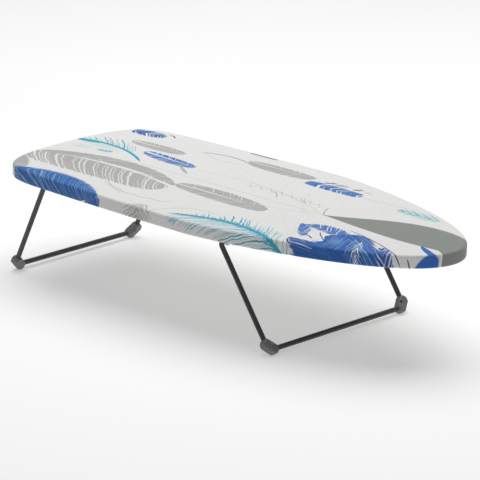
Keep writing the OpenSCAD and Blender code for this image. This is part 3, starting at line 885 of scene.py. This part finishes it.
class IB_OT_cover(bpy.types.Operator):
    """Printed cotton cover, stretched over the pad and turned under the deck."""

    bl_idname = "ironing.cover"
    bl_label = "Cover"

    def execute(self, context):
        settings = context.scene.ironing_cover
        low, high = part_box("cover")
        line, normal, around = board_outline(settings.points_round)
        top, under, upper, lower = high[2], low[2], settings.top_round, settings.low_round
        outside, inside = cover_profile(settings, top, under)
        profile = np.vstack([outside, inside])
        edge = rings_from(line, normal, profile)
        flat_top, _ = disc(edge[0], settings.rings)
        rings = np.concatenate([flat_top, edge])

        # Laid flat, each point past the top's edge is as far out as its profile is long
        run = np.concatenate([[0], np.cumsum(np.linalg.norm(np.diff(profile, axis=0), axis=1))]) - upper
        laid = np.concatenate([flat_top[..., :2], line[None] + normal[None] * run[:, None, None]])
        laid = np.concatenate([laid, np.zeros(laid.shape[:2] + (1,))], axis=-1)

        # Slow waves over the pad, gathers that grow along the hem to the elastic, and a wavy skirt
        place = np.arange(settings.points_round) / settings.points_round
        body = settings.rings - 1
        rings[: body + 1, :, 2] += settings.softness * (rolling(rings[: body + 1], 90 * MM, 9, 4) - 0.6)
        gather = np.clip((profile[:, 0] - lower) / (settings.hem - lower), 0, 1) * (profile[:, 1] < top / 1.05)
        rings[body:, :, 2] += gather[:, None] * settings.gathers * slow_wave(place, *GATHERS)[None]
        skirt = np.sin(np.pi * np.clip((top - profile[:, 1]) / (top - under), 0, 1)) * (profile[:, 0] < lower)
        dip = SKIRT_DIP * (1 - slow_wave(place, 60, 8, 5))
        rings[body:, :, :2] -= (normal * dip[:, None])[None] * skirt[:, None, None]
        points, faces = skin(rings, start=True)
        pole = np.zeros((1, 3))

        # For the hem's stitches: how far round each point is, and how far past the last point before the fold
        past = np.concatenate([np.full(body, -1.0), run - run[len(outside) - 1]])
        hem = np.stack(np.broadcast_arrays(place * around, past[:, None], 0.0), axis=-1)
        made = mesh_object("cover_cloth", points, faces, {
            "flat_place": np.vstack([laid.reshape(-1, 3), pole]),
            "hem_place": np.vstack([hem.reshape(-1, 3), pole - 1])})
        solid = made.modifiers.new("Cloth", "SOLIDIFY")
        solid.thickness = settings.cloth
        solid.offset = -1
        placed(made, "board", "printed_cotton", printed_cotton(settings), "cover")
        return {"FINISHED"}


class IB_OT_pad(bpy.types.Operator):
    """Foam pad between the cover and the deck, and the elastic in the cover's hem."""

    bl_idname = "ironing.pad"
    bl_label = "Pad and elastic"

    def execute(self, context):
        settings = context.scene.ironing_soft
        low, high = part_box("foam_pad")
        line, normal, _ = board_outline(PAD_POINTS, "foam_pad")
        radius = settings.pad_round
        profile = np.vstack([
            arc((radius, high[2] - radius), radius, 90, 180, 6),
            straight((0, high[2] - radius), (0, low[2] + radius), 2),
            arc((radius, low[2] + radius), radius, 180, 270, 6)])
        edge = rings_from(line, normal, profile)
        over, share = disc(edge[0], PAD_RINGS)
        under, _ = disc(edge[-1], PAD_RINGS)
        over[..., 2] += settings.pad_crown * (1 - share[..., 0] ** 4)
        over[..., 2] -= PAD_DIP * (0.5 + 0.5 * rolling(over, 60 * MM, 9, 11))
        points, faces = skin(np.concatenate([over, edge, under[::-1]]), True, True)
        pad = mesh_object("foam_pad_body", points, faces)
        placed(pad, "board", "pad_foam", foam_finish(settings), "foam_pad")

        # The elastic: a closed band with rounded edges, which rises and falls with the hem's gathers
        low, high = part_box("hem_elastic")
        line, normal, around = board_outline(ELASTIC_POINTS, "hem_elastic")
        half = (high[2] - low[2]) / 2
        inner = ELASTIC_WIDTH - half
        loop = np.vstack([
            arc((half, low[2] + half), half, 90, 270, 7), straight((half, low[2]), (inner, low[2]), 3),
            arc((inner, low[2] + half), half, -90, 90, 7), straight((inner, high[2]), (half, high[2]), 3)])
        band = rings_from(line, normal, loop)
        place = np.arange(ELASTIC_POINTS) / ELASTIC_POINTS
        band[..., 2] += ELASTIC_WAVE * slow_wave(place, *GATHERS)[None]
        laid = np.stack(np.broadcast_arrays(place * around, loop[:, :1], 0.0), axis=-1)
        points = band.reshape(-1, 3)
        count = len(loop)
        ring, here = np.meshgrid(np.arange(count), np.arange(ELASTIC_POINTS), indexing="ij")
        after, there = (ring + 1) % count, (here + 1) % ELASTIC_POINTS
        corners = ((ring, here), (ring, there), (after, there), (after, here))
        quads = np.stack([row * ELASTIC_POINTS + column for row, column in corners], axis=-1).reshape(-1, 4)
        if signed_volume(points, quads) < 0:
            quads = quads[:, ::-1]
        band_object = mesh_object("hem_elastic_band", points, quads.tolist(), {"flat_place": laid.reshape(-1, 3)})
        placed(band_object, "board", "elastic_band", elastic_finish(settings), "hem_elastic")
        return {"FINISHED"}


def leg_frame(end, radius):
    """Pivot, foot and half width of a leg's middle line, from its CAD box."""
    low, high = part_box(f"{end}_leg")
    pivot_x, foot_x = (high[0] - radius, low[0] + radius) if end == REAR else (low[0] + radius, high[0] - radius)
    return np.array([pivot_x, 0, high[2] - radius]), np.array([foot_x, 0, low[2] + radius]), high[1] - radius


class IB_OT_legs(bpy.types.Operator):
    """The two U-shaped rod legs and the stop arms on their inner ends."""

    bl_idname = "ironing.legs"
    bl_label = "Legs"

    def execute(self, context):
        settings = context.scene.ironing_legs
        radius = settings.rod / 2
        paint = grained("Leg powder coat", settings.paint, 0.42, 1400.0, 0.00006, shade=0.1)
        arm = grained("Stop arm nylon", settings.arm, 0.5, 900.0, 0.00004)
        for end in (REAR, FRONT):
            # Half of the rod, as (to the side, down the leg): stub, upper bend, upright, lower bend, foot bar
            pivot, foot, half = leg_frame(end, radius)
            down = foot - pivot
            long = np.linalg.norm(down)
            down /= long
            upper, lower = settings.top_bend, settings.foot_bend
            bend = np.radians(np.linspace(90, 0, 15))
            top, low = half - upper, half - lower
            right = np.vstack([np.stack(pair, axis=-1) for pair in (
                (np.linspace(top - settings.stub, top, 6)[:-1], np.zeros(5)),
                (top + upper * np.cos(bend), upper - upper * np.sin(bend)),
                (np.full(22, half), np.linspace(upper, long - lower, 24)[1:-1]),
                (low + lower * np.cos(bend[::-1]), long - lower + lower * np.sin(bend[::-1])),
                (np.linspace(low, 0, 12)[1:-1], np.full(10, long)))])
            left = right[::-1] * (-1, 1)
            flat = np.vstack([right, left])
            path = pivot + flat[:, :1] * (0, 1, 0) + flat[:, 1:] * down
            side = np.cross(down, (0, 1, 0))
            points, faces = skin(tube(path, side, radius), True, True)
            placed(mesh_object(f"{end}_leg_rod", points, faces), f"{end}_leg", "leg_paint", paint, f"{end}_leg")
            carried(f"{end}_stop_arms", f"{end}_leg", "arm_plastic", arm, 0.4 * MM)
        return {"FINISHED"}


class IB_OT_shoes(bpy.types.Operator):
    """The four foot shoes, two clasped shells each, with their screws."""

    bl_idname = "ironing.shoes"
    bl_label = "Foot shoes"

    def execute(self, context):
        settings = context.scene.ironing_legs
        plastic = grained("Shoe plastic", settings.shoe, 0.5, 1100.0, 0.00006, shade=0.12)
        steel = zinc_finish("Screw steel", context.scene.ironing_metal.screw, 0.3)
        for end in (REAR, FRONT):
            for side in (LEFT, RIGHT):
                for face in ("outer", "inner"):
                    carried(f"{end}_{side}_shoe_{face}", f"{end}_leg", "shoe_plastic", plastic,
                            settings.shoe_round, 3, 20.0)
            carried(f"{end}_shoe_screws", f"{end}_leg", "screw_steel", steel, 0.2 * MM)
        return {"FINISHED"}


class IB_OT_deck(bpy.types.Operator):
    """The perforated deck, its rim, the brackets, bushes and rivets."""

    bl_idname = "ironing.deck"
    bl_label = "Deck and brackets"

    def execute(self, context):
        metal = context.scene.ironing_metal
        zinc = zinc_finish("Zinc sheet", metal.zinc)
        nylon = grained("Bush nylon", context.scene.ironing_legs.bush, 0.45, 900.0, 0.00003, shade=0.06)
        for node in ("deck_mesh", "deck_rim", "rear_bracket", "front_bracket"):
            carried(node, "board", "zinc_steel", zinc, metal.edge_round)
        for end in (REAR, FRONT):
            node = f"{end}_rivets"
            low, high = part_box(node)
            turn = np.radians([15, 35, 55, 75, 90])
            dome = np.stack([RIVET_HEAD * np.sin(turn), -RIVET_DOME * np.cos(turn)], axis=-1)
            tip = high[2] - low[2] - RIVET_SEAT
            shank = [(RIVET_HEAD, RIVET_LIP), (RIVET_SHANK, RIVET_LIP), (RIVET_SHANK, tip)]
            profile = np.vstack([dome, shank])
            points, faces = joined([
                spun(profile, (x, y, low[2] + RIVET_SEAT), (0, 0, 1))
                for x in (low[0] + RIVET_HEAD, high[0] - RIVET_HEAD)
                for y in (low[1] + RIVET_HEAD, 0, high[1] - RIVET_HEAD)])
            placed(mesh_object(node + "_part", points, faces), "board", "zinc_steel", zinc, node)
            for side in (LEFT, RIGHT):
                carried(f"{end}_{side}_bush", "board", "bush_nylon", nylon, 0.25 * MM)
        return {"FINISHED"}


def standing(axes, place):
    """The matrix whose columns are three axes and a place."""
    return Matrix([*zip(*axes, place), (0, 0, 0, 1)])


class IB_OT_stage(bpy.types.Operator):
    """Pale floor, soft studio lights and the camera."""

    bl_idname = "ironing.stage"
    bl_label = "Stage"

    def execute(self, context):
        settings = context.scene.ironing_stage
        corners = np.array([(-1, -1), (1, -1), (1, 1), (-1, 1)]) * FLOOR_HALF
        floor = mesh_object("floor", np.column_stack([corners, np.full(4, -FLOOR_DROP)]), [[0, 1, 2, 3]])
        floor.data.materials.append(grained(
            "Floor", settings.floor, 0.9, 30.0, 0.00005, shade=0.01, Emission_Color=(1, 1, 1, 1),
            Emission_Strength=settings.glow))

        data = bpy.data.cameras.new("camera")
        data.lens = settings.focal
        data.sensor_width = 36
        data.clip_end = 60
        camera = linked("camera", data)
        camera.matrix_world = standing(CAMERA_AXES, CAMERA_PLACE)
        context.scene.camera = camera

        # Round lights that look at the board's middle
        for title, place, width, power in (
                ("top", (-0.4, 0.6, 2.6), 3.4, settings.top_power),
                ("side", (2.6, 1.6, 1.5), 1.6, settings.side_power)):
            light = bpy.data.lights.new(title, "AREA")
            light.shape = "DISK"
            light.size = width
            light.energy = power
            away = np.array(place) / np.linalg.norm(place)
            across = np.cross((0, 1, 0), away)
            across /= np.linalg.norm(across)
            linked(title, light).matrix_world = standing((across, np.cross(away, across), away), place)

        world = bpy.data.worlds.new("studio")
        world.use_nodes = True
        background = world.node_tree.nodes["Background"]
        background.inputs["Color"].default_value = (1, 1, 1, 1)
        background.inputs["Strength"].default_value = settings.room
        context.scene.world = world
        context.scene.view_settings.view_transform = "Standard"
        return {"FINISHED"}


class IB_PT_panel(bpy.types.Panel):
    """Lists the board's pieces in the sidebar."""

    bl_idname = "IB_PT_panel"
    bl_label = "Ironing Board"
    bl_space_type = "VIEW_3D"
    bl_region_type = "UI"
    bl_category = "Ironing Board"

    def draw(self, context):
        for operator in OPERATORS:
            self.layout.operator(operator.bl_idname)


GROUP_PROPERTIES = {
    "ironing_cover": IB_PG_cover, "ironing_soft": IB_PG_soft, "ironing_legs": IB_PG_legs,
    "ironing_metal": IB_PG_metal, "ironing_stage": IB_PG_stage,
}
OPERATORS = (IB_OT_deck, IB_OT_pad, IB_OT_cover, IB_OT_legs, IB_OT_shoes, IB_OT_stage)


def register():
    for item in (*GROUP_PROPERTIES.values(), *OPERATORS, IB_PT_panel):
        bpy.utils.register_class(item)
    for title, kind in GROUP_PROPERTIES.items():
        setattr(bpy.types.Scene, title, PointerProperty(type=kind))


def unregister():
    for title in GROUP_PROPERTIES:
        delattr(bpy.types.Scene, title)
    for item in (IB_PT_panel, *reversed(OPERATORS), *reversed(GROUP_PROPERTIES.values())):
        bpy.utils.unregister_class(item)


def main():
    register()
    for operator in OPERATORS:
        space, title = operator.bl_idname.split(".")
        if getattr(getattr(bpy.ops, space), title)() != {"FINISHED"}:
            raise RuntimeError(f"{operator.bl_label} was not built")


if __name__ == "__main__":
    main()
